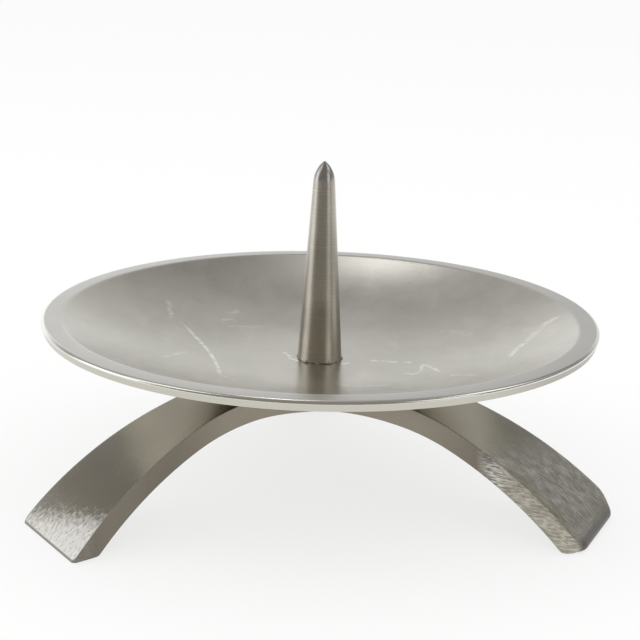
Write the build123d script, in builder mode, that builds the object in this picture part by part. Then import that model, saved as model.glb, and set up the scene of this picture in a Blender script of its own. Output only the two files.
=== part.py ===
"""Pricket candle stand: a spun dish, a turned spike and a bent tripod plate, held by one screw."""

import os
from math import radians, sqrt, tan

from build123d import *

# Stand
stand_height = 39.0  # table to the top of the dish rim
leg_count = 3
back_leg_angle = 90.0  # degrees, one leg points along +Y

# Dish, spun from sheet
dish_diameter = 120.0
rim_width = 4.4  # flat band round the bowl
sheet = 2.1
bowl_depth = 10.3  # rim top to dish floor
floor_diameter = 24.0
rim_edge_round = 0.4  # polished top edge
rim_edge_lean = 0.7  # lower edge set in from the top edge

# Spike, turned from bar
spike_length = 43.5
spike_foot_diameter = 9.7
spike_shoulder_diameter = 4.6
point_length = 4.1
point_tip_diameter = 0.7
spike_foot_chamfer = 0.25

# Tripod, bent from plate
plate = 4.5
hub_flat_radius = 5.0  # where the bend of each leg starts
bend_radius = 83.5  # of a leg's top face
foot_width = 24.9
leg_flare = 6.9  # degrees that each side of a leg widens towards its foot
crotch_radius = 43.0  # between two legs
foot_corner_round = 2.5
foot_end_height = 1.0  # of the upright end face of each foot
foot_toe_round = 1.4  # inner edge of the ground flat
leg_edge_round = 0.5
upward_share = 0.3  # a face that looks up by more than this is a top face
level_share = 0.01  # a face that looks up or down by less than this is a side face

# Screw and lock washer under the hub
screw_diameter = 5.0
thread_clearance = 0.05  # round the screw in the tapped hole
hole_clearance = 0.25  # round the screw in the dish and the hub
thread_engagement = 10.0
tap_depth = 13.0
tap_point_angle = 118.0  # degrees, left by the drill
head_diameter = 9.5
head_height = 2.4
head_edge_round = 1.8
slot_width = 1.2
slot_depth = 1.1
washer_bore = 5.3
washer_diameter = 10.0
washer_thickness = 0.6
tooth_count = 10
tooth_gap = 1.1
tooth_length = 1.0

overrun = 5.0  # how far a cut runs past the solid

# Heights of the faces that seat on each other
floor_height = stand_height - bowl_depth
hub_top = floor_height - sheet
hub_under = hub_top - plate
washer_under = hub_under - washer_thickness

# Radii shared by the pieces
dish_radius = dish_diameter / 2
bowl_radius = dish_radius - rim_width
floor_radius = floor_diameter / 2
screw_hole_radius = screw_diameter / 2 + hole_clearance
tapped_radius = screw_diameter / 2 + thread_clearance


def arc_reach(radius, drop):
    """Horizontal reach of an arc that starts level and falls or rises by drop."""
    return sqrt(radius**2 - (radius - drop) ** 2)


# Drip dish: flat floor, arc wall, flat rim band with a leaning edge, all one sheet thick
bowl_run = bowl_radius - floor_radius
bowl_arc_radius = (bowl_run**2 + bowl_depth**2) / (2 * bowl_depth)
under_run = arc_reach(bowl_arc_radius + sheet, bowl_depth)
with BuildPart() as drip_dish:
    with BuildSketch(Plane.XZ) as dish_section:
        with BuildLine() as dish_outline:
            floor_line = Line((screw_hole_radius, floor_height), (floor_radius, floor_height))
            wall = TangentArc(floor_line @ 1, (bowl_radius, stand_height), tangent=floor_line % 1)
            band = Line(wall @ 1, (dish_radius, stand_height))
            edge = Line(band @ 1, (dish_radius - rim_edge_lean, stand_height - sheet))
            under_floor = Line((screw_hole_radius, hub_top), (floor_radius, hub_top))
            under_wall = TangentArc(
                under_floor @ 1,
                (floor_radius + under_run, stand_height - sheet),
                tangent=under_floor % 1,
            )
            Line(edge @ 1, under_wall @ 1)
            Line(under_floor @ 0, floor_line @ 0)
        make_face()
        fillet(dish_section.vertices().group_by(Axis.X)[-1], rim_edge_round)
    revolve(axis=Axis.Z)

# Pricket spike: long cone with an ogive point and a tapped hole in its foot
shoulder_height = floor_height + spike_length - point_length
shoulder = (spike_shoulder_diameter / 2, shoulder_height)
tip = (point_tip_diameter / 2, floor_height + spike_length)
tap_cone_height = tapped_radius / tan(radians(tap_point_angle / 2))
with BuildPart() as pricket_spike:
    with BuildSketch(Plane.XZ) as spike_section:
        with BuildLine() as spike_outline:
            foot_line = Line((0, floor_height), (spike_foot_diameter / 2, floor_height))
            flank = Line(foot_line @ 1, shoulder)
            point = TangentArc(flank @ 1, tip, tangent=flank % 1)
            Polyline(point @ 1, (0, tip[1]), foot_line @ 0)
        make_face()
    revolve(axis=Axis.Z)
    foot_edge = pricket_spike.edges().filter_by(GeomType.CIRCLE).group_by(Axis.Z)[0]
    chamfer(foot_edge, spike_foot_chamfer)
    with BuildSketch(Plane.XZ) as tap_section:
        with BuildLine() as tap_outline:
            Polyline(
                (0, floor_height - overrun),
                (tapped_radius, floor_height - overrun),
                (tapped_radius, floor_height + tap_depth),
                (0, floor_height + tap_depth + tap_cone_height),
                close=True,
            )
        make_face()
    revolve(axis=Axis.Z, mode=Mode.SUBTRACT)

# One leg of the plate, bent along +X, filling its share of the hub
foot_reach = hub_flat_radius + arc_reach(bend_radius, hub_top - foot_end_height)
ground_reach = hub_flat_radius + arc_reach(bend_radius, hub_top)
toe_reach = hub_flat_radius + arc_reach(bend_radius - plate, hub_under)
outline_reach = ground_reach + overrun
half_share = radians(180 / leg_count)
with BuildPart() as bent_leg:
    with BuildSketch(Plane.XZ) as leg_section:
        with BuildLine() as leg_outline:
            top_flat = Line((0, hub_top), (hub_flat_radius, hub_top))
            top_bend = TangentArc(top_flat @ 1, (ground_reach, 0), tangent=top_flat % 1)
            under_flat = Line((0, hub_under), (hub_flat_radius, hub_under))
            under_bend = TangentArc(under_flat @ 1, (toe_reach, 0), tangent=under_flat % 1)
            Line(top_bend @ 1, under_bend @ 1)
            Line(under_flat @ 0, top_flat @ 0)
        make_face()
    extrude(amount=outline_reach * tan(half_share), both=True)
    with BuildSketch(Plane.XY) as share:
        with BuildLine() as share_outline:
            Polyline(
                (0, 0),
                (outline_reach, outline_reach * tan(half_share)),
                (outline_reach, -outline_reach * tan(half_share)),
                close=True,
            )
        make_face()
    extrude(amount=stand_height, mode=Mode.INTERSECT)

# Tripod base: the legs joined at the hub, trimmed to the plate's outline
root_half_width = foot_width / 2 - foot_reach * tan(radians(leg_flare))
with BuildPart() as tripod_base:
    with PolarLocations(0, leg_count, start_angle=back_leg_angle):
        add(bent_leg.part)
    with BuildSketch(Plane.XY) as blank:
        with PolarLocations(0, leg_count, start_angle=back_leg_angle):
            Polygon(
                (0, -root_half_width),
                (foot_reach, -foot_width / 2),
                (foot_reach, foot_width / 2),
                (0, root_half_width),
                align=None,
            )
        corners = blank.vertices().sort_by_distance((0, 0, 0))
        fillet(corners[leg_count:], foot_corner_round)
        crotches = blank.vertices().sort_by_distance((0, 0, 0))[:leg_count]
        fillet(crotches, crotch_radius)
    extrude(amount=stand_height, mode=Mode.INTERSECT)
    soles = tripod_base.faces().filter_by(Plane.XY).group_by(Axis.Z)[0]
    toes = [sole.edges().sort_by_distance((0, 0, 0))[0] for sole in soles]
    fillet(toes, foot_toe_round)
    tops = tripod_base.faces().filter_by(lambda face: face.normal_at().Z > upward_share)
    sides = tripod_base.faces().filter_by(lambda face: abs(face.normal_at().Z) < level_share)
    long_edges = [edge for edge in tops.edges() if any(edge.is_same(other) for other in sides.edges())]
    fillet(long_edges, leg_edge_round)
    with BuildSketch(Plane.XY) as hub_hole:
        Circle(screw_hole_radius)
    extrude(amount=stand_height, mode=Mode.SUBTRACT)

# Lock washer: a thin ring with teeth round its edge
with BuildPart() as lock_washer:
    with BuildSketch(Plane.XY.offset(washer_under)):
        Circle(washer_diameter / 2)
        Circle(washer_bore / 2, mode=Mode.SUBTRACT)
        with PolarLocations(washer_diameter / 2, tooth_count):
            Rectangle(2 * tooth_length, tooth_gap, mode=Mode.SUBTRACT)
    extrude(amount=washer_thickness)

# Fixing screw: slotted pan head under the hub, shank up into the spike
shank_top = floor_height + thread_engagement
head_bottom = washer_under - head_height
with BuildPart() as fixing_screw:
    with BuildSketch(Plane.XY.offset(head_bottom)):
        Circle(head_diameter / 2)
    extrude(amount=head_height)
    head_rim = fixing_screw.edges().filter_by(GeomType.CIRCLE).group_by(Axis.Z)[0]
    fillet(head_rim, head_edge_round)
    with BuildSketch(Plane.XY.offset(washer_under)):
        Circle(screw_diameter / 2)
    extrude(amount=shank_top - washer_under)
    with BuildSketch(Plane.XY.offset(head_bottom - overrun)):
        Rectangle(head_diameter + overrun, slot_width)
    extrude(amount=overrun + slot_depth, mode=Mode.SUBTRACT)

os.makedirs("parts", exist_ok=True)
pieces = {
    "drip_dish": drip_dish,
    "pricket_spike": pricket_spike,
    "tripod_base": tripod_base,
    "lock_washer": lock_washer,
    "fixing_screw": fixing_screw,
}
for name, piece in pieces.items():
    piece.part.label = name
    export_step(piece.part, f"parts/{name}.step")
    print(name, round(piece.part.volume, 1), piece.part.bounding_box().size)
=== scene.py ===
"""Looks of a pricket candle stand: a spun dish, a turned spike and a bent tripod plate on a pale floor."""

from functools import reduce
from math import cos, pi, radians, sin, sqrt, tan

import bmesh
import bpy
import numpy as np
from bpy.props import FloatProperty, FloatVectorProperty, PointerProperty
from mathutils import Matrix, Vector


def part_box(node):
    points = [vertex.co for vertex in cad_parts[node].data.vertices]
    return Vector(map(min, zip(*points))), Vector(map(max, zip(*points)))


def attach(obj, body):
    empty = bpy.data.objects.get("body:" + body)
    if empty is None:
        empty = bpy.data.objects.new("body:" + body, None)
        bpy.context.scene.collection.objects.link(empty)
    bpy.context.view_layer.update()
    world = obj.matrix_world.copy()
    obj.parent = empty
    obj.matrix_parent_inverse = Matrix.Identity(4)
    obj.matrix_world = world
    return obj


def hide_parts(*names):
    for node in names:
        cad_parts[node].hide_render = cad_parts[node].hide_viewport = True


bl_info = {
    "name": "Pricket candle stand",
    "version": (1, 0, 0),
    "blender": (4, 5, 0),
    "location": "View3D > Sidebar > Candle stand",
    "description": "Builds the dish, spike and tripod of a candle stand over its solid model",
    "category": "Add Mesh",
}

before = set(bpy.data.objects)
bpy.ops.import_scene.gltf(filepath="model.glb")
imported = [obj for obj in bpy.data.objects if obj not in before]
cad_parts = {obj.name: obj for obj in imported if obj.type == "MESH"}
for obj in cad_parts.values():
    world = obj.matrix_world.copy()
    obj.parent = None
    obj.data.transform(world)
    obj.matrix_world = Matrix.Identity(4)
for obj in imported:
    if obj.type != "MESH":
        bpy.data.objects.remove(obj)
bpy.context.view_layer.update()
DISH_LOW, DISH_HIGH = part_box("drip_dish")
SPIKE_LOW, SPIKE_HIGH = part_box("pricket_spike")
BASE_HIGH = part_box("tripod_base")[1]

MM = 0.001
STEPS = ("dish", "spike", "base", "screw", "stage")  # groups of settings, each with an operator
LEG_ANGLES = (90.0, 210.0, 330.0)  # back, left and right leg, in degrees from +X
PHOTO_SIDE = 640  # pixels along the picture's side
MERGE_GAP = 0.002 * MM  # points of a mesh that are nearer than this become one
RELIEF_DEPTH = 0.05 * MM  # of the turning lines, brush strokes and file marks
LEVEL = (1.0, 1.0, 0.0)  # keeps the level part of a vector


def length(name, description, default):
    """A property for a length in metres."""
    return FloatProperty(
        name=name,
        description=description,
        default=default,
        min=0.0,
        precision=5,
        subtype="DISTANCE",
        unit="LENGTH",
    )


def angle(name, description, degrees):
    """A property for an angle, given in degrees."""
    return FloatProperty(name=name, description=description, default=radians(degrees), subtype="ANGLE")


def colour(name, description, default):
    """A property for a surface colour."""
    return FloatVectorProperty(
        name=name, description=description, default=default, size=3, min=0.0, max=1.0, subtype="COLOR"
    )


def share(name, description, default):
    """A property for a value between 0 and 1."""
    return FloatProperty(
        name=name, description=description, default=default, min=0.0, max=1.0, subtype="FACTOR"
    )


def per_leg(name, description, sizes):
    """A property for three lengths in millimetres, one for each leg."""
    metres = tuple(size * MM for size in sizes)
    return FloatVectorProperty(
        name=name, description=description, default=metres, size=3, precision=5, unit="LENGTH"
    )


class DishSettings(bpy.types.PropertyGroup):
    """Sizes and finish of the dish."""

    radius: length("Radius", "Axis to the widest place of the rim", DISH_HIGH.y)
    rim_top: length("Rim height", "Table to the top of the rim", DISH_HIGH.z)
    rim_width: length("Rim width", "Bowl to the widest place of the rim", 4.25 * MM)
    sheet: length("Sheet", "Thickness of the metal", 2.1 * MM)
    floor_radius: length("Floor radius", "Flat middle of the bowl", 12.0 * MM)
    corner_soft: length("Corner", "Softened corner between bowl and band", 0.5 * MM)
    edge_run: length("Edge run", "Polished rounding of the rim, across the band", 0.8 * MM)
    edge_drop: length("Edge drop", "Polished rounding of the rim, down the edge", 0.58 * MM)
    edge_lean: length("Edge lean", "Lower edge of the rim, set in from the top edge", 0.7 * MM)
    hole_radius: length("Hole radius", "Screw hole in the middle", 2.75 * MM)
    bowl_colour: colour("Bowl", "Satin metal of the bowl", (0.675, 0.66, 0.61))
    scratch_colour: colour("Scratches", "Bright metal in the scratches", (0.97, 0.965, 0.95))
    rim_colour: colour("Rim", "Brighter metal of the band", (0.60, 0.595, 0.57))
    edge_colour: colour("Edge", "Cut edge below the polished line", (0.60, 0.58, 0.51))
    line_colour: colour("Line", "Polished top edge of the rim", (0.86, 0.85, 0.82))
    bowl_roughness: share("Bowl roughness", "Blur of the bowl's reflections", 0.29)
    rim_roughness: share("Rim roughness", "Blur of the rim's reflections", 0.32)


class SpikeSettings(bpy.types.PropertyGroup):
    """Sizes and finish of the spike."""

    foot_height: length("Foot height", "Table to the spike's foot", SPIKE_LOW.z)
    tip_height: length("Tip height", "Table to the spike's tip", SPIKE_HIGH.z)
    foot_radius: length("Foot radius", "Radius at the dish", 4.85 * MM)
    foot_chamfer: length("Foot chamfer", "Bevel round the foot", 0.25 * MM)
    shoulder_radius: length("Shoulder radius", "Radius where the point starts", 2.3 * MM)
    tip_radius: length("Tip radius", "Blunt end of the point", 0.35 * MM)
    point_length: length("Point length", "Shoulder to tip", 4.1 * MM)
    tap_radius: length("Tap radius", "Tapped hole in the foot", 2.55 * MM)
    tap_depth: length("Tap depth", "Depth of the tapped hole", 13.0 * MM)
    burr_width: length("Burr width", "Ragged bead round the foot", 0.45 * MM)
    metal_colour: colour("Metal", "Turned metal", (0.61, 0.577, 0.512))
    point_colour: colour("Point", "Ground point", (0.50, 0.50, 0.50))
    roughness: share("Roughness", "Blur across the turning lines", 0.35)


class BaseSettings(bpy.types.PropertyGroup):
    """Sizes, finish and painted shade of the tripod, with what differs from leg to leg: back, left and
    right.
    """

    hub_top: length("Hub height", "Table to the top of the hub", BASE_HIGH.z)
    plate: length("Plate", "Thickness of the metal", 4.5 * MM)
    hub_flat: length("Hub flat", "Axis to the start of a leg's bend", 5.0 * MM)
    bend_radius: length("Bend radius", "Bend of a leg's top face", 83.5 * MM)
    foot_width: length("Foot width", "Width of a leg at its end", 24.9 * MM)
    flare: angle("Flare", "Widening of each side of a leg", 6.9)
    crotch_radius: length("Crotch radius", "Rounding between two legs", 43.0 * MM)
    end_height: length("End height", "Upright end face of a foot", 1.0 * MM)
    toe_round: length("Toe round", "Rounding at the inside of a foot", 1.4 * MM)
    edge_round: length("Edge round", "Rounding of the long edges", 0.14 * MM)
    hole_radius: length("Hole radius", "Screw hole in the hub", 2.75 * MM)
    own_flats: per_leg("Own hub flats", "Start of each leg's own bend", (5.0, 6.9, 3.0))
    own_bends: per_leg("Own bends", "Bend radius of each leg", (83.5, 77.7, 89.2))
    own_reach: per_leg("Own reach", "Each leg longer than the mean by", (0.0, 0.0, -0.7))
    own_width: per_leg("Own width", "Each side of a leg wider than the mean by", (0.0, -0.5, 0.45))
    own_drift: per_leg("Own drift", "Each foot off its line, to the left from the hub", (0.0, 0.0, 1.1))
    end_rounds: per_leg("End rounds", "Rounding of the top and bottom of each foot's end", (0.4, 0.3, 1.6))
    corners: per_leg("Corners", "Rounding of each foot's corners", (2.2, 1.0, 3.6))
    metal_colour: colour("Metal", "Satin metal of the legs", (0.445, 0.42, 0.355))
    # Painted shade: the cut sides are a darker copy of the plate's metal, for the shadowed floor they
    # mirror.
    side_colour: colour("Sides", "Cut sides of the plate", (0.202, 0.181, 0.147))
    filed_colour: colour("Filed metal", "Bright metal in the file marks", (0.78, 0.77, 0.74))
    dressed_colour: colour("Dressed metal", "Bright metal at the left foot's end", (0.97, 0.96, 0.935))
    golden_colour: colour("Golden marks", "File marks along the near edge", (0.67, 0.632, 0.536))
    # Painted shade: darker metal drawn in the corner under the dish and in a band above the left foot.
    tarnish_colour: colour("Tarnish", "Metal in the corner under the dish", (0.21, 0.18, 0.125))
    # Painted shade: the end faces of the feet are drawn dark, for the dark contact shadow they mirror.
    end_colour: colour("Foot ends", "Stained end faces of the feet", (0.14, 0.136, 0.126))
    roughness: share("Roughness", "Blur of the reflections", 0.25)


class ScrewSettings(bpy.types.PropertyGroup):
    """Finish of the screw and its washer."""

    metal_colour: colour("Metal", "Plain bright metal", (0.60, 0.59, 0.57))
    roughness: share("Roughness", "Blur of the reflections", 0.3)


class StageSettings(bpy.types.PropertyGroup):
    """Floor, card and camera."""

    floor_colour: colour("Floor", "Pale floor", (0.90, 0.90, 0.895))
    floor_white: share("Floor white", "How far the floor's shadow is lightened", 0.72)
    floor_reach: length("Floor reach", "Axis to each side of the floor", 6.0)
    card_colour: colour("Card", "Dim card on the floor, seen only in the metal", (0.10, 0.09, 0.072))
    card_start: length("Card start", "Axis to the card's near edge", 0.13)
    card_end: length("Card end", "Axis to the card's far edge", 0.5)
    card_reach: length("Card reach", "Axis to each side of the card", 0.7)
    distance: length("Distance", "Camera to the middle of the rim", 0.320)
    focal_pixels: FloatProperty(name="Focal length", description="In pixels of the picture", default=1472.0)
    azimuth: angle("Azimuth", "Camera round the stand", -4.9)
    elevation: angle("Elevation", "Camera above the rim", 15.36)
    roll: angle("Roll", "Lean of the picture", 1.53)
    centre: FloatVectorProperty(
        name="Centre", description="Pixel that shows the middle of the rim", default=(320.7, 312.4), size=2
    )


class StandSettings(bpy.types.PropertyGroup):
    """Everything that can be set on the candle stand."""

    dish: PointerProperty(type=DishSettings)
    spike: PointerProperty(type=SpikeSettings)
    base: PointerProperty(type=BaseSettings)
    screw: PointerProperty(type=ScrewSettings)
    stage: PointerProperty(type=StageSettings)


class Patch:
    """A grid of points and the quads between them, a flat map in metres and three shares of wear and
    painted shade per point.
    """

    def __init__(self, points, flat=None, wear=None, wrap=(False, False)):
        rows, columns = points.shape[:2]
        index = np.arange(rows * columns).reshape(rows, columns)
        if wrap[0]:
            index = np.concatenate((index, index[:1]), axis=0)
        if wrap[1]:
            index = np.concatenate((index, index[:, :1]), axis=1)
        corners = (index[:-1, :-1], index[1:, :-1], index[1:, 1:], index[:-1, 1:])
        self.points = points.reshape(-1, 3)
        self.quads = np.stack(corners, axis=-1).reshape(-1, 4)
        self.flat = np.zeros((rows * columns, 2)) if flat is None else flat.reshape(-1, 2)
        self.wear = np.zeros((rows * columns, 3)) if wear is None else wear.reshape(-1, 3)


def rise(value, low, high):
    """A smooth step from 0 to 1 between two values."""
    part = np.clip((value - low) / (high - low), 0.0, 1.0)
    return part * part * (3 - 2 * part)


def arc(centre, radius, start, end, count):
    """Points on a circle: centre plus radius times cosine and sine of angles from start to end."""
    turned = np.linspace(start, end, count)
    return np.stack((centre[0] + radius * np.cos(turned), centre[1] + radius * np.sin(turned)), axis=1)


def arch(x, top, flat, bend, thickness):
    """Height of an arc that leaves the level top after the flat, that thickness nearer to its centre."""
    run = np.maximum(x - flat, 0.0)
    return top - bend + np.sqrt((bend - thickness) ** 2 - run**2)


def spin(profile, steps, closed):
    """Turns a profile of radius r and height round Z: x = r cos a, y = r sin a, with a over a full turn."""
    around = np.linspace(0.0, 2 * pi, steps, endpoint=False)
    radius = profile[:, :1]
    height = np.broadcast_to(profile[:, 1:], (len(profile), steps))
    points = np.stack((radius * np.cos(around), radius * np.sin(around), height), axis=-1)
    return Patch(points, wrap=(closed, True))


def turn(points, degrees):
    """Turns points round Z."""
    c, s = cos(radians(degrees)), sin(radians(degrees))
    return points @ np.array(((c, s, 0.0), (-s, c, 0.0), (0.0, 0.0, 1.0)))


def make_piece(name, patches, crease, material, node=None):
    """Joins patches into one closed, outward mesh on the stand, sharp past so many degrees of crease."""
    counts = np.cumsum([0] + [len(patch.points) for patch in patches])
    points = np.concatenate([patch.points for patch in patches])
    quads = np.concatenate([patch.quads + start for patch, start in zip(patches, counts)])
    mesh = bpy.data.meshes.new(name)
    mesh.from_pydata(points, [], quads)
    flat = np.concatenate([patch.flat for patch in patches])[quads.reshape(-1)].astype(np.float32)
    mesh.uv_layers.new(name="along").uv.foreach_set("vector", flat.reshape(-1))
    wear = np.concatenate([patch.wear for patch in patches]).astype(np.float32)
    attribute = mesh.attributes.new("wear", "FLOAT_VECTOR", "POINT")
    attribute.data.foreach_set("vector", wear.reshape(-1))
    work = bmesh.new()
    work.from_mesh(mesh)
    bmesh.ops.remove_doubles(work, verts=work.verts, dist=MERGE_GAP)
    bmesh.ops.recalc_face_normals(work, faces=work.faces)
    work.to_mesh(mesh)
    work.free()
    mesh.shade_smooth()
    mesh.set_sharp_from_angle(angle=radians(crease))
    mesh.materials.append(material)
    piece = bpy.data.objects.new(name, mesh)
    bpy.context.scene.collection.objects.link(piece)
    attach(piece, "root")
    if node:
        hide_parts(node)


def dish_profile(size):
    """Section of the dish: floor, arc wall, soft corner, flat band, elliptic leaning edge, back below."""
    wall_points, corner_points, edge_points = 72, 7, 14
    slope = size.edge_lean / size.sheet
    reach, drop = size.edge_run, size.edge_drop
    turned = np.linspace(pi / 2, -np.arctan(slope * drop / reach), edge_points)
    edge = np.stack((reach * np.cos(turned), drop * np.sin(turned)), axis=1)
    edge = edge + (size.radius - reach, size.rim_top - drop)
    low = size.rim_top - size.sheet
    low_radius = edge[-1, 0] - slope * (edge[-1, 1] - low)
    rim = size.radius - size.rim_width
    depth = low - DISH_LOW.z
    floor = size.rim_top - depth
    run = rim - size.floor_radius
    bowl = (run**2 + depth**2) / (2 * depth)
    under = bowl + size.sheet
    middle = (size.floor_radius, floor + bowl)
    wall_end = np.arcsin((run - size.corner_soft) / bowl) - pi / 2
    wall = arc(middle, bowl, -pi / 2, wall_end, wall_points)
    part = np.linspace(0.0, 1.0, corner_points)[1:, None]
    meeting = np.array((rim, size.rim_top))
    inner = wall[-1] * (1 - part) + meeting * part
    outer = meeting + part * (size.corner_soft, 0.0)
    corner = inner * (1 - part) + outer * part
    under_start = np.arcsin(sqrt(under**2 - (under - depth) ** 2) / under) - pi / 2
    under_wall = arc(middle, under, under_start, -pi / 2, wall_points)
    hole = [(size.hole_radius, floor - size.sheet), (size.hole_radius, floor)]
    return np.concatenate((hole, wall, corner, edge, [(low_radius, low)], under_wall))


TIP_CROWN = ((1.0, -0.5), (0.6, -0.12), (0.0, 0.0))  # blunt end of the point, in tip radii from its top
DRILL_CONE = 0.6  # end of the tapped hole, in its radii


def spike_profile(size):
    """Section of the spike: tapped hole, level foot, straight flank, then an arc smoothly to the tip."""
    flank_points, point_points = 60, 16
    crown = size.tip_radius * np.array(TIP_CROWN) + (0.0, size.tip_height)
    tip = crown[0]
    shoulder = np.array((size.shoulder_radius, size.tip_height - size.point_length))
    foot = np.array((size.foot_radius, size.foot_height))
    flank = (shoulder - foot) / np.linalg.norm(shoulder - foot)
    chord = tip - shoulder
    inward = np.array((-flank[1], flank[0]))
    radius = chord @ chord / (2 * (chord @ inward))
    middle = shoulder + inward * radius
    start = np.arctan2(*(shoulder - middle)[::-1])
    end = np.arctan2(*(tip - middle)[::-1])
    first = foot + flank * size.foot_chamfer
    up = np.linspace(0.0, 1.0, flank_points)[:, None]
    tap_end = size.foot_height + size.tap_depth
    return np.concatenate(
        (
            [(0.0, tap_end + DRILL_CONE * size.tap_radius), (size.tap_radius, tap_end)],
            [(size.tap_radius, size.foot_height), (size.foot_radius - size.foot_chamfer, size.foot_height)],
            first + (shoulder - first) * up,
            arc(middle, radius, start, end, point_points)[1:],
            crown[1:],
        )
    )


BURR_WAVES = ((5, 1.0, 0.7), (11, 0.8, 2.1), (23, 0.6, 4.0))  # count, height and shift of each wave


def burr_patch(size):
    """Ragged bead round the spike's foot: a ring as wide and high as a sum of sines of the angle."""
    around_points, section_points = 240, 10
    sunk, lifted = 0.1 * MM, 0.02 * MM  # into the flank, and off the dish
    mean, spread, least = 0.35, 0.33, 0.06  # of the bead's width
    around = np.linspace(0.0, 2 * pi, around_points, endpoint=False)[:, None]
    section = np.linspace(0.0, 2 * pi, section_points, endpoint=False)[None, :]
    lumps = sum(height * np.sin(count * around + shift) for count, height, shift in BURR_WAVES)
    swell = size.burr_width * np.clip(mean + spread * lumps, least, None)
    radius = size.foot_radius - sunk + swell * (1 + np.cos(section)) / 2
    height = size.foot_height + lifted + swell * (1 + np.sin(section)) / 2
    points = np.stack((radius * np.cos(around), radius * np.sin(around), height), axis=-1)
    return Patch(points, wrap=(True, True))


class LegShape:
    """Plan and heights of one leg along +X.

    Seen from above, the outline starts at the middle of the crotch, follows the crotch's arc, then a
    straight flared side, then the foot's rounded corner. The top and bottom are heights over that plan:
    level at the hub, then arcs round one centre, the bottom one ending in the toe's rounding and the flat
    sole. Away from the hub the leg blends into its own bend, reach, width and drift.
    """

    BLEND = (8 * MM, 22 * MM)  # from the axis, where a leg's own form sets in
    END_BLEND = 4 * MM  # along the leg, over which the end's rounding grows
    ROUND_SHARE = 0.45  # most of a foot's end height that the rounding at its top or bottom takes
    SIDE_MAP = 20 * MM  # from the middle of the flat map to the strips that hold the sides
    END_FACING = (0.6, 0.95)  # how far an edge looks along the leg before it belongs to the foot's end

    # The third share is painted shade: a darker band above the left foot, in place of a dark reflection.
    FILING, DRESSING, DULLING = (0.2, 0.1, 1.0), (0.3, 1.0, 0.0), (0.0, 0.3, 0.0)  # shares on each leg
    NEAR_SIDE = (0.0, 1.0, -1.0)  # which side of each leg the camera sees
    # Where each kind of wear and of painted shade sets in and is full, from the axis, and its slant across
    # the leg
    FILED, DRESSED, WEAR_SLANT = (41 * MM, 52 * MM), (56 * MM, 66 * MM), 0.25
    # Painted shade on the top faces in the corner under the dish.
    TARNISHED, TARNISH_SLANT = (21 * MM, 37 * MM), 0.7
    # Where the painted shade band above the left foot sets in and where it fades again.
    DULL_START, DULL_END = (46 * MM, 53 * MM), (57 * MM, 62 * MM)
    GOLDEN_WIDTH = 5 * MM

    def __init__(self, size, leg):
        self.size = size
        self.leg = leg
        drop = size.hub_top - size.end_height
        self.reach = size.hub_flat + sqrt(size.bend_radius**2 - (size.bend_radius - drop) ** 2)
        flat, bend, toe = size.own_flats[leg], size.own_bends[leg], size.toe_round
        under = bend - size.plate
        toe_run = sqrt((under + toe) ** 2 - (toe - size.hub_top + bend) ** 2)
        self.sole_start = flat + toe_run
        self.toe_start = flat + toe_run * under / (under + toe)

    def own(self, x):
        """How far a place is out of the hub and on the leg itself: 0 to 1."""
        return rise(x, *self.BLEND)

    def bent(self, x, thickness):
        """Height of a face that many metres below the top face."""
        size = self.size
        shared = arch(x, size.hub_top, size.hub_flat, size.bend_radius, thickness)
        special = arch(x, size.hub_top, size.own_flats[self.leg], size.own_bends[self.leg], thickness)
        return shared + self.own(x) * (special - shared)

    def top(self, x):
        """Height of the top face."""
        return self.bent(x, 0.0)

    def under(self, x):
        """Height of the lower face, with the toe's rounding and the sole at zero."""
        toe = self.size.toe_round
        dip = np.clip(self.sole_start - x, 0.0, toe)
        sole = toe - np.sqrt(toe**2 - dip**2)
        bent = self.bent(np.minimum(x, self.toe_start), self.size.plate)
        return np.where(x < self.toe_start, bent, sole)

    def half(self, x):
        """Half of the flared width."""
        return self.size.foot_width / 2 - (self.reach - x) * tan(self.size.flare)

    def warp(self, plan):
        """Moves a plan to the leg's own reach, width and drift."""
        size, leg = self.size, self.leg
        x, y = plan[..., 0], plan[..., 1]
        own = self.own(x)
        wide = 1 + own * size.own_width[leg] / self.half(np.maximum(x, size.hub_flat))
        drift = own * size.own_drift[leg] * x / self.reach
        return np.stack((x + own * size.own_reach[leg], y * wide + drift), axis=-1)

    def outline(self):
        """Points of one side of the plan and the outward direction at each."""
        crotch_points, side_points, toe_points, corner_points = 30, 40, 9, 12
        size, flare, corner = self.size, self.size.flare, self.size.corners[self.leg]
        along = np.array((cos(flare), sin(flare)))
        out = np.array((-sin(flare), cos(flare)))
        half = size.foot_width / 2
        third = np.array((cos(pi / 3), sin(pi / 3)))
        root = np.linalg.solve(np.stack((third, along), axis=1), np.array((self.reach, half)))[0]
        middle = third * (root + size.crotch_radius / sin(pi / 3 - flare))
        bow = np.linspace(pi * 4 / 3, pi * 3 / 2 + flare, crotch_points)
        bow_out = -np.stack((np.cos(bow), np.sin(bow)), axis=1)
        crotch = middle - size.crotch_radius * bow_out
        bend = np.linspace(pi / 2 + flare, 0.0, corner_points)
        bend_out = np.stack((np.cos(bend), np.sin(bend)), axis=1)
        bend_middle = np.array((self.reach - corner, half - corner * (1 + sin(flare)) / cos(flare)))
        foot = bend_middle + corner * bend_out
        first, last = crotch[-1, 0], foot[0, 0]
        toe = np.linspace(self.toe_start, self.sole_start, toe_points) - size.own_reach[self.leg]
        x = np.unique(np.concatenate((np.linspace(first, last, side_points), toe)))
        x = x[(x > first) & (x < last)]
        side = np.stack((x, self.half(x)), axis=1)
        points = np.concatenate((crotch, side, foot))
        outward = np.concatenate((bow_out, np.broadcast_to(out, side.shape), bend_out))
        return points, outward

    def along(self, x):
        """Length along the bent leg at plan distance x."""
        flat, bend = self.size.hub_flat, self.size.bend_radius
        return np.minimum(x, flat) + bend * np.arcsin(np.maximum(x - flat, 0.0) / bend)

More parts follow.
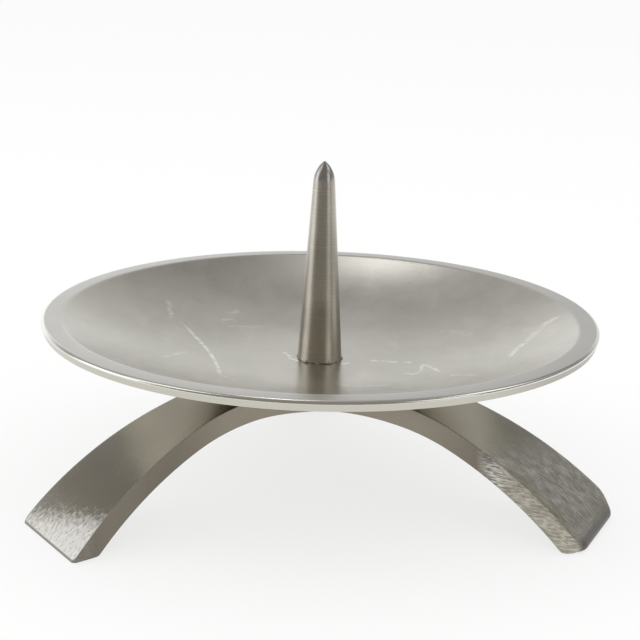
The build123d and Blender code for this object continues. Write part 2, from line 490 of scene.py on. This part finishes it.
    def rounding(self, x):
        """Edge radius: small along the leg, and that of the end at the foot."""
        end = self.size.end_rounds[self.leg] - self.size.edge_round
        return (self.size.edge_round + end * rise(x, self.reach - self.END_BLEND, self.reach))[:, None]

    def patches(self):
        """Top, lower face, hole wall and rounded rim of the leg."""
        across_points, hub_points = 25, 14
        size = self.size
        points, outward = self.outline()
        mirror = np.array((1.0, -1.0))
        rounds = self.rounding(points[:, 0])
        inner = points - rounds * outward
        across = np.linspace(-1.0, 1.0, across_points)
        rows = np.stack((inner[:, :1] + 0 * across, inner[:, 1:] * across), axis=-1)
        hole = size.hole_radius * np.stack((np.cos(across * pi / 3), np.sin(across * pi / 3)), axis=-1)
        spread = np.linspace(0.0, 1.0, hub_points)[:-1, None, None]
        plan = self.warp(np.concatenate((hole * (1 - spread) + rows[0] * spread, rows)))
        wall = np.broadcast_to(hole, (2, *hole.shape))
        wall_heights = np.stack((self.under(hole[:, 0]), self.top(hole[:, 0])))
        end = np.stack((np.full(len(across), self.reach), -across * points[-1, 1]), axis=1)[1:-1]
        end_rounds = np.full((len(end), 1), size.end_rounds[self.leg])
        loop = np.concatenate((points, end, points[::-1] * mirror))
        out = np.concatenate((outward, np.broadcast_to((1.0, 0.0), end.shape), outward[::-1] * mirror))
        return (
            self.face(plan, self.top(plan[..., 0])),
            self.face(plan, self.under(plan[..., 0])),
            self.face(wall, wall_heights),
            self.rim(loop, out, np.concatenate((rounds, end_rounds, rounds[::-1]))[:, 0]),
        )

    def face(self, plan, height, side=0.0, end=0.0):
        """A patch over a plan, with the length along the leg and the place across it as its flat map."""
        x, y = plan[..., 0], plan[..., 1]
        side = np.broadcast_to(side, x.shape)
        across = np.where(side > 0.0, np.sign(y) * self.SIDE_MAP + height, y)
        flat = np.stack((self.along(x), across), axis=-1)
        filed, dressed = self.wear(x, y)
        # Shares of filing, dressing and side; below 0 the first is painted shade, and the second the
        # painted shade of the foot ends.
        wear = np.stack((filed, dressed - 2 * end, side), axis=-1)
        return Patch(np.concatenate((plan, height[..., None]), axis=-1), flat, wear)

    def rim(self, loop, out, rounds):
        """The edge all round the leg: upright, between elliptic roundings at the top and the bottom."""
        roll_points = 9
        roll = np.linspace(0.0, pi / 2, roll_points)[:, None]
        inset = np.concatenate((1 - np.sin(roll), 1 - np.sin(roll[::-1]))) * rounds
        plan = self.warp(loop - inset[..., None] * out)
        widest = self.warp(loop)[:, 0]
        deep = np.minimum(rounds, self.ROUND_SHARE * (self.top(widest) - self.under(widest)))
        top = self.top(plan[:roll_points, :, 0]) - deep * (1 - np.cos(roll))
        low = self.under(plan[roll_points:, :, 0]) + deep * (1 - np.cos(roll[::-1]))
        side = np.concatenate((np.sin(roll) ** 2, np.ones_like(roll))) + 0 * rounds
        end = np.sqrt(side) * rise(out[:, 0], *self.END_FACING)
        return self.face(plan, np.concatenate((top, low)), side, end)

    def wear(self, x, y):
        """Shares of filing, most on the right leg, and of dressing, most at the left foot: smooth steps.

        A filing above 1 is golden, along the near edge; one below 0 is painted shade: in the corner under
        the dish, and in a dim band above the left foot that stands for a dark reflection.
        """
        leg = self.leg
        filed = self.FILING[leg] * rise(x - self.WEAR_SLANT * y, *self.FILED)
        golden = rise(-y, self.half(x) - self.GOLDEN_WIDTH, self.half(x))
        # Painted shade in the corner under the dish, reaching further out on the near side.
        tarnish = 1 - rise(x - self.TARNISH_SLANT * self.NEAR_SIDE[leg] * y, *self.TARNISHED)
        # Painted shade: a darker band above the left foot, in place of a dark reflection.
        dull = self.DULLING[leg] * rise(x, *self.DULL_START) * (1 - rise(x, *self.DULL_END))
        dressed = self.DRESSING[leg] * rise(x + self.WEAR_SLANT * y, *self.DRESSED)
        return filed * (1 + golden) - tarnish - dull, dressed


def tint(tone, factor):
    """A colour made darker or lighter."""
    return tuple(factor * value for value in tone)


class Graph:
    """Adds shader nodes to a tree and joins them."""

    def __init__(self, tree):
        self.tree = tree
        self.shader = tree.nodes.get("Principled BSDF")

    @classmethod
    def for_material(cls, name):
        """A graph in a new material with one metal or paint shader."""
        material = bpy.data.materials.new(name)
        material.use_nodes = True
        graph = cls(material.node_tree)
        graph.material = material
        return graph

    @classmethod
    def for_world(cls, name):
        """An empty graph in a new world, which becomes the scene's."""
        world = bpy.data.worlds.new(name)
        world.use_nodes = True
        world.node_tree.nodes.clear()
        bpy.context.scene.world = world
        return cls(world.node_tree)

    def set(self, node, **inputs):
        """Sets or links inputs, named with underscores for spaces, or by i and their number."""
        for key, value in inputs.items():
            numbered = key[0] == "i" and key[1:].isdigit()
            socket = node.inputs[int(key[1:]) if numbered else key.replace("_", " ")]
            if isinstance(value, bpy.types.NodeSocket):
                self.tree.links.new(value, socket)
            elif socket.type == "RGBA":
                socket.default_value = (*value, 1.0)
            else:
                socket.default_value = value
        return node

    def add(self, kind, settings=None, **inputs):
        """A new node with its settings and inputs."""
        node = self.tree.nodes.new(kind)
        for key, value in (settings or {}).items():
            setattr(node, key, value)
        return self.set(node, **inputs)

    def sum(self, operation, a, b=0.0, c=0.0, clamp=False):
        """One step of arithmetic."""
        settings = {"operation": operation, "use_clamp": clamp}
        return self.add("ShaderNodeMath", settings, i0=a, i1=b, i2=c).outputs[0]

    def times(self, a, b, clamp=False):
        """A product."""
        return self.sum("MULTIPLY", a, b, clamp=clamp)

    def less(self, a, b, clamp=False):
        """A difference."""
        return self.sum("SUBTRACT", a, b, clamp=clamp)

    def lift(self, value, by, base):
        """A base that rises with a value, by so much for each whole one."""
        return self.sum("MULTIPLY_ADD", value, by, base)

    def gather(self, operation, values):
        """One operation carried through a list of values."""
        return reduce(lambda a, b: self.sum(operation, a, b), values)

    def vector(self, operation, a, b=(0.0, 0.0, 0.0)):
        """One step of vector arithmetic: the outputs, Vector and Value."""
        return self.add("ShaderNodeVectorMath", {"operation": operation}, i0=a, i1=b).outputs

    def axes(self, vector):
        """The three parts of a vector: X, Y and Z."""
        return self.add("ShaderNodeSeparateXYZ", i0=vector).outputs

    def ramp(self, value, low, high, to_low=0.0, to_high=1.0):
        """A smooth step of a value from one range to another."""
        node = self.add("ShaderNodeMapRange", {"interpolation_type": "SMOOTHSTEP"}, Value=value)
        return self.set(node, From_Min=low, From_Max=high, To_Min=to_low, To_Max=to_high).outputs[0]

    def fall(self, value, low, high):
        """A smooth step down from 1 to 0."""
        return self.ramp(value, low, high, 1.0, 0.0)

    def mix(self, factor, first, second):
        """A blend of two colours."""
        node = self.add("ShaderNodeMix", {"data_type": "RGBA"})
        return self.set(node, i0=factor, i6=first, i7=second).outputs[2]

    def mottle(self, clouds, tone, dull):
        """A colour that clouds darken in part, by a factor."""
        return self.mix(self.ramp(clouds, 0.3, 0.7), tint(tone, dull), tone)

    def spot(self):
        """Object coordinates."""
        return self.add("ShaderNodeTexCoord").outputs["Object"]

    def place(self, vector, scale, slant=0.0, shift=0.0):
        """A vector scaled along its axes, turned round Z by degrees and moved."""
        node = self.add("ShaderNodeMapping", Vector=vector, Scale=scale, Location=(shift, shift, 0.0))
        return self.set(node, Rotation=(0.0, 0.0, radians(slant))).outputs[0]

    def noise(self, vector, scale=1.0, detail=3.0, roughness=0.5):
        """Cloudy values between 0 and 1 over a vector."""
        node = self.add("ShaderNodeTexNoise", Vector=vector, Scale=scale)
        return self.set(node, Detail=detail, Roughness=roughness).outputs[0]

    def lines(self, value, rate, detail):
        """Cloudy values between 0 and 1 along one measure, about so many to the metre."""
        node = self.add("ShaderNodeTexNoise", {"noise_dimensions": "1D"}, W=self.times(value, rate))
        return self.set(node, Scale=1.0, Detail=detail).outputs[0]

    def finish(self, metal, rough, relief, strength):
        """Gives the shader its metal, its roughness and a fine relief."""
        relief = self.add("ShaderNodeBump", Height=relief, Strength=strength, Distance=RELIEF_DEPTH)
        self.set(self.shader, Base_Color=metal, Metallic=1.0, Roughness=rough, Normal=relief.outputs[0])
        return self.material


SCRATCHES = (  # start and end on the bowl and sag in millimetres, width in millimetres, strength
    ((-30.5, 18.2), (-22.0, -16.1), 2.2, 0.65, 1.0),
    ((-22.0, -16.1), (-18.6, -20.5), 0.3, 0.6, 0.5),
    ((-33.6, 28.3), (-33.0, 19.1), 0.3, 1.0, 0.5),
    ((-21.0, 23.3), (-17.5, 23.8), 0.6, 0.9, 0.5),
    ((-19.8, 27.5), (-17.4, 30.8), -1.0, 1.2, 0.4),
    ((-20.4, 20.1), (-11.1, 21.6), 0.2, 0.8, 0.4),
    ((-33.9, -9.4), (-28.7, -0.6), 0.6, 0.9, 0.35),
    ((10.9, -2.0), (17.1, -3.6), 0.1, 1.0, 0.8),
    ((17.9, -4.1), (19.8, -4.6), 0.0, 0.9, 0.8),
    ((16.2, -12.4), (19.1, -14.2), 0.2, 0.8, 0.7),
    ((19.1, -14.2), (21.0, -11.1), 0.2, 0.6, 0.8),
    ((21.0, -11.1), (21.9, -6.8), 0.2, 0.6, 0.7),
    ((21.9, -6.8), (24.3, -14.5), 0.4, 0.7, 0.8),
    ((25.8, -18.6), (30.2, -23.6), 0.2, 0.9, 0.6),
    ((2.7, -20.2), (13.6, -22.2), -0.3, 1.0, 0.45),
    ((29.2, 13.9), (35.7, 7.4), 0.5, 2.2, 0.2),
    ((39.2, -14.3), (44.2, -6.5), 0.6, 1.0, 0.6),
    ((44.2, -6.5), (50.5, 1.4), 0.3, 1.3, 0.4),
    ((49.5, 0.6), (53.8, 1.8), 0.2, 1.2, 0.7),
    ((-7.8, 4.2), (-6.4, 0.5), 0.3, 0.7, 0.9),
    ((-6.9, -0.2), (-4.5, -3.2), 0.3, 0.6, 0.9),
    ((3.5, -4.8), (6.5, -3.4), -0.2, 0.5, 0.8),
)


def scratch(graph, flat, start, end, sag, width, strength):
    """A scratch: its strength near a line from start to end that bows by sag, fading out at its width."""
    full = 0.2  # of the width
    start, end = np.array(start) * MM, np.array(end) * MM
    run = end - start
    span = np.linalg.norm(run)
    along, side = run / span, np.array((-run[1], run[0])) / span
    shifted = graph.vector("SUBTRACT", flat, (*start, 0.0))["Vector"]
    part = graph.sum("DIVIDE", graph.vector("DOT_PRODUCT", shifted, (*along, 0.0))["Value"], span)
    aside = graph.vector("DOT_PRODUCT", shifted, (*side, 0.0))["Value"]
    bow = graph.times(graph.times(part, graph.less(1.0, part)), 4 * sag * MM)
    off = graph.sum("ABSOLUTE", graph.less(aside, bow))
    near = graph.fall(off, full * width * MM, width * MM)
    inside = graph.times(graph.ramp(part, -0.04, 0.08), graph.fall(part, 0.85, 1.04))
    return graph.times(graph.times(near, inside), strength)


def dish_metal(size):
    """Spun satin bowl with turning lines and scratches, and a brighter rim band and edge, with painted
    shade on the edge's right side.
    """
    graph = Graph.for_material("dish_metal")
    spot = graph.spot()
    flat = graph.vector("MULTIPLY", spot, LEVEL)["Vector"]
    radius = graph.vector("LENGTH", flat)["Value"]
    sideways, _, height = graph.axes(spot)
    turning = graph.lines(radius, rate=3500.0, detail=4.0)
    clouds = graph.noise(spot, scale=70.0, detail=5.0, roughness=0.65)
    smears = graph.noise(graph.place(spot, (150.0, 60.0, 1.0), slant=20.0), detail=4.0, roughness=0.6)
    grain = graph.noise(spot, scale=1800.0, detail=2.0)
    patchy = graph.noise(spot, scale=560.0, detail=4.0, roughness=0.75)

    rim_start = size.radius - size.rim_width
    rim = graph.ramp(radius, rim_start - 0.3 * MM, rim_start + 0.4 * MM)
    polished = graph.ramp(height, size.rim_top - 1.4 * size.edge_drop, size.rim_top - 0.9 * size.edge_drop)
    corner = graph.ramp(radius, size.radius - size.edge_run, size.radius - 0.7 * size.edge_run)
    line = graph.times(corner, polished)
    # Painted shade: the rim's edge is drawn darker towards the right, in place of a darker reflection
    # there.
    stained = graph.ramp(sideways, 24 * MM, 50 * MM)
    scratches = graph.gather("ADD", [scratch(graph, flat, *values) for values in SCRATCHES])
    broken = graph.times(scratches, graph.ramp(patchy, 0.34, 0.60))
    scored = graph.times(broken, graph.less(1.0, rim), clamp=True)

    bowl = graph.mottle(clouds, size.bowl_colour, dull=0.88)
    bowl = graph.mix(graph.ramp(smears, 0.5, 0.8), bowl, tint(size.bowl_colour, 1.05))
    bowl = graph.mix(scored, bowl, size.scratch_colour)
    edge = graph.mix(stained, size.edge_colour, tint(size.edge_colour, 0.7))
    band = graph.mix(polished, edge, size.rim_colour)
    metal = graph.mix(line, graph.mix(rim, bowl, band), size.line_colour)

    rough = graph.lift(turning, by=0.04, base=size.bowl_roughness - 0.06)
    rough = graph.lift(clouds, by=0.08, base=rough)
    rough = graph.lift(rim, by=size.rim_roughness - size.bowl_roughness, base=rough)
    rough = graph.lift(line, by=-0.12, base=rough)
    return graph.finish(metal, rough, relief=graph.lift(grain, by=0.4, base=turning), strength=0.03)


def spike_metal(size):
    """Turned metal: fine rings up the spike, and a smoother ground point."""
    graph = Graph.for_material("spike_metal")
    spot = graph.spot()
    height = graph.axes(spot)["Z"]
    rings = graph.lines(height, rate=6000.0, detail=3.0)
    point_start = size.tip_height - size.point_length
    point = graph.ramp(height, point_start - 0.4 * MM, point_start + 0.3 * MM)
    metal = graph.mottle(graph.noise(spot, scale=140.0), size.metal_colour, dull=0.86)
    metal = graph.mix(graph.ramp(rings, 0.45, 0.75), metal, tint(size.metal_colour, 1.15))
    metal = graph.mix(point, metal, size.point_colour)
    rough = graph.lift(rings, by=0.16, base=size.roughness - 0.06)
    rough = graph.lift(point, by=-0.08, base=rough)
    ring_way = graph.add("ShaderNodeTangent", {"direction_type": "RADIAL", "axis": "Z"}).outputs[0]
    graph.set(graph.shader, Anisotropic=0.7, Anisotropic_Rotation=0.25, Tangent=ring_way)
    return graph.finish(metal, rough, relief=rings, strength=0.15)


FILE_LAYERS = ((2.0, 0.0), (17.0, 3.7), (-13.0, 7.9))  # slant in degrees and shift of file marks


def base_metal(size):
    """Satin plate brushed along the legs, filed on one leg and dressed on another, with painted shade on
    its sides, its foot ends, under the dish and above the left foot, and painted light on its rounded
    edges.
    """
    graph = Graph.for_material("base_metal")
    spot = graph.spot()
    along = graph.add("ShaderNodeUVMap", {"uv_map": "along"}).outputs[0]
    wear = graph.add("ShaderNodeAttribute", {"attribute_name": "wear"}).outputs["Vector"]
    brushed = graph.noise(graph.place(along, (120.0, 3600.0, 1.0)), roughness=0.6)
    layers = [graph.place(along, (360.0, 3600.0, 1.0), slant, shift) for slant, shift in FILE_LAYERS]
    strokes = graph.gather("MAXIMUM", [graph.noise(layer, detail=2.0) for layer in layers])
    clouds = graph.noise(spot, scale=38.0, detail=4.0, roughness=0.6)
    blotches = graph.noise(spot, scale=330.0, roughness=0.6)
    speckle = graph.noise(graph.place(along, (900.0, 1500.0, 1.0)), detail=4.0, roughness=0.7)

    # Below 0 the first share is painted shade, and the second the painted shade of the foot ends.
    filing, dressed, side = graph.axes(wear)
    filed = graph.times(filing, 1.0, clamp=True)
    golden = graph.less(filing, 1.0, clamp=True)
    # Painted shade: the part of the first share below 0 darkens the metal under the dish and above the left
    # foot.
    tarnish = graph.times(filing, -1.0, clamp=True)
    end = graph.times(dressed, -0.5, clamp=True)
    not_end = graph.less(1.0, end)
    top = graph.less(1.0, side, clamp=True)
    edge = graph.times(graph.times(side, top), not_end)
    marks = graph.ramp(graph.lift(blotches, by=0.3, base=strokes), 0.62, 0.86)
    marks = graph.times(graph.times(marks, filed), not_end)
    pits = graph.times(graph.ramp(speckle, 0.56, 0.68), graph.times(filed, 0.6))
    fringe = graph.lift(graph.less(speckle, 0.5), by=1.5, base=dressed)
    bright = graph.times(graph.ramp(fringe, 0.2, 0.9), top)

    metal = graph.mottle(clouds, size.metal_colour, dull=0.86)
    # Painted shade mixed into the metal.
    metal = graph.mix(tarnish, metal, size.tarnish_colour)
    # Painted shade on the sides, drawn lighter near the hub and in the band above the left foot.
    rubbed = graph.mix(tarnish, size.side_colour, tint(size.side_colour, 1.4))
    metal = graph.mix(side, metal, rubbed)
    metal = graph.mix(graph.times(filed, top), metal, tint(size.metal_colour, 0.88))
    metal = graph.mix(graph.times(golden, 0.8), metal, tint(size.golden_colour, 0.55))
    metal = graph.mix(pits, metal, tint(size.metal_colour, 0.3))
    metal = graph.mix(marks, metal, graph.mix(golden, size.filed_colour, size.golden_colour))
    smudges = graph.ramp(speckle, 0.36, 0.56)
    dressing = graph.mix(smudges, tint(size.dressed_colour, 0.76), size.dressed_colour)
    metal = graph.mix(bright, metal, dressing)
    # Painted shade on the foot ends.
    metal = graph.mix(end, metal, size.end_colour)
    # Painted light: the rounded edges are drawn lighter, and made rough, so that they show no dark
    # reflection.
    metal = graph.mix(graph.times(edge, 3.0, clamp=True), metal, tint(size.filed_colour, 0.7))

    rough = graph.lift(brushed, by=0.12, base=size.roughness - 0.10)
    for mask, by in ((clouds, 0.08), (bright, 0.22), (edge, 2.0), (golden, 0.12), (filed, 0.12)):
        rough = graph.lift(mask, by, rough)
    relief = graph.lift(graph.times(strokes, filed), by=7.0, base=brushed)
    relief = graph.lift(graph.times(speckle, bright), by=5.0, base=relief)
    return graph.finish(metal, rough, relief, strength=0.10)


def screw_metal(size):
    """Plain bright metal with a light mottle."""
    graph = Graph.for_material("screw_metal")
    mottle = graph.noise(graph.spot(), scale=500.0)
    metal = graph.mix(mottle, tint(size.metal_colour, 0.8), size.metal_colour)
    rough = graph.lift(mottle, by=0.2, base=size.roughness - 0.1)
    graph.set(graph.shader, Base_Color=metal, Metallic=1.0, Roughness=rough)
    return graph.material


class STAND_OT_dish(bpy.types.Operator):
    """Spin the dish"""

    bl_idname = "stand.dish"
    bl_label = "Dish"

    def execute(self, context):
        size = context.scene.stand.dish
        patch = spin(dish_profile(size), steps=320, closed=True)
        make_piece("dish", [patch], 16.0, dish_metal(size), "drip_dish")
        return {"FINISHED"}


class STAND_OT_spike(bpy.types.Operator):
    """Turn the spike and the bead round its foot"""

    bl_idname = "stand.spike"
    bl_label = "Spike"

    def execute(self, context):
        size = context.scene.stand.spike
        metal = spike_metal(size)
        patch = spin(spike_profile(size), steps=128, closed=False)
        make_piece("spike", [patch], 30.0, metal, "pricket_spike")
        make_piece("spike_burr", [burr_patch(size)], 60.0, metal)
        return {"FINISHED"}


class STAND_OT_base(bpy.types.Operator):
    """Bend the tripod"""

    bl_idname = "stand.base"
    bl_label = "Tripod"

    def execute(self, context):
        size = context.scene.stand.base
        patches = []
        for leg, degrees in enumerate(LEG_ANGLES):
            for patch in LegShape(size, leg).patches():
                patch.points = turn(patch.points, degrees)
                patches.append(patch)
        make_piece("tripod", patches, 28.0, base_metal(size), "tripod_base")
        return {"FINISHED"}


class STAND_OT_screw(bpy.types.Operator):
    """Finish the screw and its washer"""

    bl_idname = "stand.screw"
    bl_label = "Screw and washer"

    def execute(self, context):
        metal = screw_metal(context.scene.stand.screw)
        for node in ("fixing_screw", "lock_washer"):
            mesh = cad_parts[node].data
            mesh.materials.clear()
            mesh.materials.append(metal)
        return {"FINISHED"}


LAMP_DISTANCE = 0.9  # metres from the middle of the rim
LAMPS = (  # name, turn and rise in degrees, width and height in metres, watts
    ("lamp_left", (176.0, 15.0), (0.60, 0.60), 1.28),
    ("lamp_right", (315.0, 15.0), (0.40, 0.60), 0.65),
    ("lamp_line_left", (186.0, 50.0), (0.38, 0.40), 0.5),
    ("lamp_line_right", (356.0, 46.0), (0.36, 0.40), 0.5),
    ("lamp_above", (96.0, 61.0), (0.11, 0.18), 0.19),
)


def add_lamp(name, target, way, size, power):
    """A soft rectangular lamp that faces the target, at a turn and a rise in degrees."""
    data = bpy.data.lights.new(name, "AREA")
    data.shape = "RECTANGLE"
    data.size, data.size_y = size
    data.energy = power
    lamp = bpy.data.objects.new(name, data)
    turned, risen = radians(way[0]), radians(way[1])
    away = Vector((cos(turned) * cos(risen), sin(turned) * cos(risen), sin(risen)))
    look = away.to_track_quat("Z", "Y").to_matrix().to_4x4()
    lamp.matrix_world = Matrix.Translation(target + away * LAMP_DISTANCE) @ look
    bpy.context.scene.collection.objects.link(lamp)


WHITE = (1.0, 1.0, 1.0)
FRONT_LOW, FRONT_HIGH = (0.09, 0.08, 0.063), (0.25, 0.225, 0.19)  # behind the camera
BACK, BACK_LEFT = (0.31, 0.305, 0.29), (0.37, 0.365, 0.35)
WALL, DUSK_LEFT, DUSK_RIGHT = (0.58, 0.575, 0.56), (0.33, 0.325, 0.315), (0.25, 0.245, 0.235)
PAPER_LEFT, PAPER_RIGHT = (1.12, 1.12, 1.11), (0.78, 0.78, 0.77)  # the backdrop


def add_world():
    """A room that lights matt things evenly; metal shows a white backdrop low at the back in a dim room.

    Its colours are smooth steps over the direction: x to the right, y to the back, z up.
    """
    graph = Graph.for_world("room")
    way = graph.add("ShaderNodeTexCoord").outputs["Generated"]
    x, y, z = graph.axes(way)
    level = graph.vector("NORMALIZE", graph.vector("MULTIPLY", way, LEVEL)["Vector"])["Vector"]
    behind = graph.axes(level)["Y"]
    crest = graph.lift(graph.ramp(behind, 0.88, 0.99), by=-0.03, base=z)
    paper = graph.times(graph.ramp(behind, 0.55, 0.9), graph.fall(crest, 0.25, 0.42))
    wall = graph.times(graph.ramp(y, 0.2, 0.6), graph.fall(z, 0.55, 0.75))
    aside = graph.ramp(graph.sum("ABSOLUTE", graph.sum("ADD", x, 0.02)), 0.30, 0.48)
    front = graph.mix(graph.ramp(z, 0.05, 0.3), FRONT_LOW, FRONT_HIGH)
    room = graph.mix(graph.ramp(y, -0.3, 0.3), front, BACK)
    back_left = graph.mix(graph.ramp(y, 0.1, 0.5), room, BACK_LEFT)
    room = graph.mix(graph.ramp(x, -0.02, -0.2), room, back_left)
    dusk = graph.mix(graph.ramp(x, 0.0, 0.3), DUSK_LEFT, DUSK_RIGHT)
    room = graph.mix(wall, room, graph.mix(aside, WALL, dusk))
    room = graph.mix(paper, room, graph.mix(graph.ramp(x, -0.12, 0.28), PAPER_LEFT, PAPER_RIGHT))
    matt = graph.add("ShaderNodeLightPath").outputs["Is Diffuse Ray"]
    light = graph.add("ShaderNodeBackground", Color=graph.mix(matt, room, WHITE))
    graph.add("ShaderNodeOutputWorld", i0=light.outputs[0])


def lay_sheet(name, across, deep, height, tone, white=0.0):
    """A level sheet: the grid of its corners at one height, in part plain white to camera and metal."""
    x, y = np.meshgrid(across, deep, indexing="ij")
    patch = Patch(np.stack((x, y, np.full_like(x, height)), axis=-1))
    mesh = bpy.data.meshes.new(name)
    mesh.from_pydata(patch.points, [], patch.quads)
    graph = Graph.for_material(name + "_paint")
    paint = graph.mix(graph.noise(graph.spot(), scale=3.0, detail=2.0), tint(tone, 0.99), tone)
    graph.set(graph.shader, Base_Color=paint, Roughness=0.9, Specular_IOR_Level=0.1)
    if white:
        path = graph.add("ShaderNodeLightPath").outputs
        rays = ("Is Camera Ray", "Is Glossy Ray", "Is Transmission Ray")
        seen = graph.gather("MAXIMUM", [path[ray] for ray in rays])
        glow = graph.add("ShaderNodeEmission", Color=WHITE, Strength=1.0)
        both = graph.add("ShaderNodeMixShader", i0=graph.times(seen, white))
        graph.set(both, i1=graph.shader.outputs[0], i2=glow.outputs[0])
        graph.set(graph.tree.nodes["Material Output"], Surface=both.outputs[0])
    mesh.materials.append(graph.material)
    sheet = bpy.data.objects.new(name, mesh)
    bpy.context.scene.collection.objects.link(sheet)
    return sheet


class STAND_OT_stage(bpy.types.Operator):
    """Lay the floor, set the lamps and place the camera"""

    bl_idname = "stand.stage"
    bl_label = "Stage"

    def execute(self, context):
        size = context.scene.stand.stage
        context.scene.view_settings.view_transform = "Standard"
        target = Vector((0.0, 0.0, DISH_HIGH.z))
        self.lay_floor(size)
        for name, way, lamp_size, power in LAMPS:
            add_lamp(name, target, way, lamp_size, power)
        add_world()
        self.place_camera(context.scene, size, target)
        return {"FINISHED"}

    def lay_floor(self, size):
        """A wide pale floor just under the feet, and a dim card in front that only the metal shows."""
        floor_height, card_height = -0.05 * MM, 0.2 * MM
        wide = (-size.floor_reach, size.floor_reach)
        lay_sheet("floor", wide, wide, floor_height, size.floor_colour, size.floor_white)
        across, deep = (-size.card_reach, size.card_reach), (-size.card_end, -size.card_start)
        card = lay_sheet("card", across, deep, card_height, size.card_colour)
        card.visible_camera = False
        card.visible_diffuse = False
        card.visible_shadow = False

    def place_camera(self, scene, size, target):
        """A camera at the distance, turn and lean of the picture, shifted to put the rim in its place."""
        data = bpy.data.cameras.new("camera")
        data.lens = data.sensor_width * size.focal_pixels / PHOTO_SIDE
        data.shift_x = -(size.centre[0] - PHOTO_SIDE / 2) / PHOTO_SIDE
        data.shift_y = (size.centre[1] - PHOTO_SIDE / 2) / PHOTO_SIDE
        data.clip_start, data.clip_end = 0.01, 30.0
        level = cos(size.elevation)
        back = Vector((sin(size.azimuth) * level, -cos(size.azimuth) * level, sin(size.elevation)))
        camera = bpy.data.objects.new("camera", data)
        lean = Matrix.Rotation(size.roll, 4, "Z")
        look = (-back).to_track_quat("-Z", "Y").to_matrix().to_4x4()
        camera.matrix_world = Matrix.Translation(target + back * size.distance) @ look @ lean
        scene.collection.objects.link(camera)
        scene.camera = camera


class STAND_PT_panel(bpy.types.Panel):
    """Candle stand settings and steps"""

    bl_idname = "STAND_PT_panel"
    bl_label = "Candle stand"
    bl_space_type = "VIEW_3D"
    bl_region_type = "UI"
    bl_category = "Candle stand"

    def draw(self, context):
        for step in STEPS:
            group = getattr(context.scene.stand, step)
            box = self.layout.box()
            for name in group.__annotations__:
                box.prop(group, name)
            box.operator(f"stand.{step}")


CLASSES = (
    DishSettings,
    SpikeSettings,
    BaseSettings,
    ScrewSettings,
    StageSettings,
    StandSettings,
    STAND_OT_dish,
    STAND_OT_spike,
    STAND_OT_base,
    STAND_OT_screw,
    STAND_OT_stage,
    STAND_PT_panel,
)


def register():
    """Adds the classes and the stand's settings."""
    for item in CLASSES:
        bpy.utils.register_class(item)
    bpy.types.Scene.stand = PointerProperty(type=StandSettings)


def unregister():
    """Takes the settings and the classes away again."""
    del bpy.types.Scene.stand
    for item in reversed(CLASSES):
        bpy.utils.unregister_class(item)


def main():
    """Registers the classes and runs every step."""
    register()
    bpy.ops.stand.dish()
    bpy.ops.stand.spike()
    bpy.ops.stand.base()
    bpy.ops.stand.screw()
    bpy.ops.stand.stage()
    bpy.context.view_layer.update()


if __name__ == "__main__":
    main()
